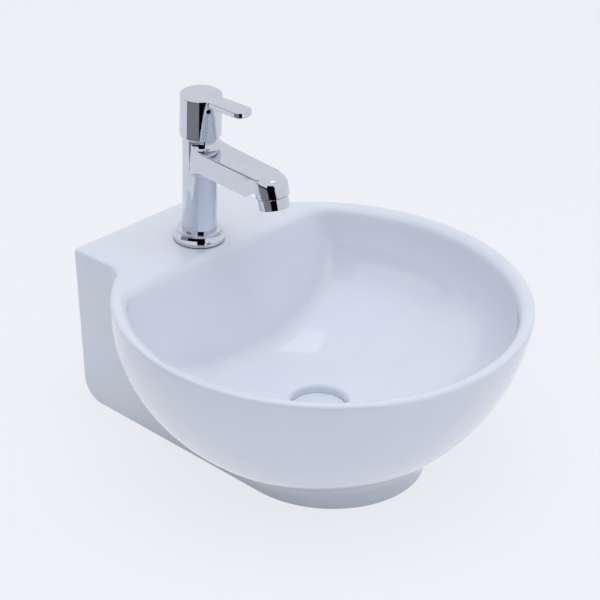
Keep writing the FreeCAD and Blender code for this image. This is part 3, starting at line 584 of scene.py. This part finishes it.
def threadTree(t):
    # draws the side in along a helix; the thread fades out over its last turn
    tree = bpy.data.node_groups.new("cutThread", "GeometryNodeTree")
    tree.interface.new_socket("Geometry", in_out="INPUT", socket_type="NodeSocketGeometry")
    for name in ("Axis X", "Axis Y", "Low", "High", "Radius", "Pitch", "Depth"):
        tree.interface.new_socket(name, in_out="INPUT", socket_type="NodeSocketFloat")
    tree.interface.new_socket("Finish", in_out="INPUT", socket_type="NodeSocketMaterial")
    tree.interface.new_socket("Geometry", in_out="OUTPUT", socket_type="NodeSocketGeometry")
    given = addNode(tree, "NodeGroupInput").outputs
    centre = addNode(tree, "ShaderNodeCombineXYZ", {"X": given["Axis X"], "Y": given["Axis Y"]})
    place = addNode(tree, "GeometryNodeInputPosition")
    fromAxis = addNode(tree, "ShaderNodeVectorMath", {0: place.outputs[0], 1: centre.outputs[0]},
                       operation="SUBTRACT")
    parts = addNode(tree, "ShaderNodeSeparateXYZ", {0: fromAxis.outputs[0]}).outputs
    flat = addNode(tree, "ShaderNodeCombineXYZ", {"X": parts["X"], "Y": parts["Y"]})
    reach = addNode(tree, "ShaderNodeVectorMath", {0: flat.outputs[0]}, operation="LENGTH")
    outward = addNode(tree, "ShaderNodeVectorMath", {0: flat.outputs[0]}, operation="NORMALIZE")

    # which points are on the threaded side, and how far below its upper end, in turns
    gap = addNode(tree, "ShaderNodeMath", {0: reach.outputs["Value"], 1: given["Radius"]},
                  operation="SUBTRACT")
    offSide = addNode(tree, "ShaderNodeMath", {0: gap.outputs[0]}, operation="ABSOLUTE")
    onSide = addNode(tree, "ShaderNodeMath", {0: offSide.outputs[0]}, {1: t["sideWithin"]},
                     operation="LESS_THAN")
    aboveLow = addNode(tree, "ShaderNodeMath", {0: parts["Z"], 1: given["Low"]}, operation="SUBTRACT")
    inLow = addNode(tree, "ShaderNodeMath", {0: aboveLow.outputs[0]}, {1: -t["lowWithin"]},
                    operation="GREATER_THAN")
    chosen = addNode(tree, "ShaderNodeMath", {0: onSide.outputs[0], 1: inLow.outputs[0]},
                     operation="MULTIPLY")
    belowHigh = addNode(tree, "ShaderNodeMath", {0: given["High"], 1: parts["Z"]}, operation="SUBTRACT")
    fade = addNode(tree, "ShaderNodeMath", {0: belowHigh.outputs[0], 1: given["Pitch"]},
                   operation="DIVIDE", use_clamp=True)

    # the flank goes from 0 at a crest to 0.5 at a root, so twice it is the share of the depth
    angle = addNode(tree, "ShaderNodeMath", {0: parts["Y"], 1: parts["X"]}, operation="ARCTAN2")
    turn = addNode(tree, "ShaderNodeMath", {0: angle.outputs[0]}, {1: 2 * math.pi}, operation="DIVIDE")
    climb = addNode(tree, "ShaderNodeMath", {0: parts["Z"], 1: given["Pitch"]}, operation="DIVIDE")
    phase = addNode(tree, "ShaderNodeMath", {0: climb.outputs[0], 1: turn.outputs[0]}, operation="SUBTRACT")
    flank = addNode(tree, "ShaderNodeMath", {0: phase.outputs[0]}, {1: 0.5}, operation="PINGPONG")
    cut = addNode(tree, "ShaderNodeMath", {0: flank.outputs[0], 1: given["Depth"]}, operation="MULTIPLY")
    faded = addNode(tree, "ShaderNodeMath", {0: cut.outputs[0], 1: fade.outputs[0]}, operation="MULTIPLY")
    inward = addNode(tree, "ShaderNodeMath", {0: faded.outputs[0]}, {1: -2.0}, operation="MULTIPLY")
    offset = addNode(tree, "ShaderNodeVectorMath", {0: outward.outputs[0], "Scale": inward.outputs[0]},
                     operation="SCALE")
    moved = addNode(tree, "GeometryNodeSetPosition",
                    {"Geometry": given["Geometry"], "Selection": chosen.outputs[0],
                     "Offset": offset.outputs[0]})
    real = addNode(tree, "GeometryNodeRealizeInstances", {0: moved.outputs[0]})
    finished = addNode(tree, "GeometryNodeSetMaterial",
                       {"Geometry": real.outputs[0], "Material": given["Finish"]})
    addNode(tree, "NodeGroupOutput", {0: finished.outputs[0]})
    return tree


cutThread = threadTree(threads)


def buildThreaded(name, node, t):
    # the plain side gets level cuts, close enough for the flanks, which the tree then draws in
    mesh = mergedCopy(node)
    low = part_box(node)[0][2]
    cuts = int(t["length"] / t["pitch"] * threads["cutsPerTurn"])
    for k in range(1, cuts):
        bmesh.ops.bisect_plane(mesh, geom=mesh.verts[:] + mesh.edges[:] + mesh.faces[:], dist=1e-7,
                               plane_co=(0, 0, low + t["length"] * k / cuts), plane_no=(0, 0, 1))
    obj = newPiece(mesh, name, node)
    modifier = obj.modifiers.new("thread", "NODES")
    modifier.node_group = cutThread
    given = {"Axis X": t["axis"][0], "Axis Y": t["axis"][1], "Low": low, "High": low + t["length"],
             "Radius": t["radius"], "Pitch": t["pitch"], "Depth": t["depth"],
             "Finish": finishes[slotOfNode[node]]}
    for item in cutThread.interface.items_tree:
        if item.in_out == "INPUT" and item.name in given:
            modifier[item.identifier] = given[item.name]
    finishPiece(obj, node)


buildThreaded("threadedShank", "inlet_shank", inletThread)
buildThreaded("threadedWasteTube", "waste_body", trapThread)
print("threads are cut")

bpy.context.scene.view_settings.view_transform = "Standard"
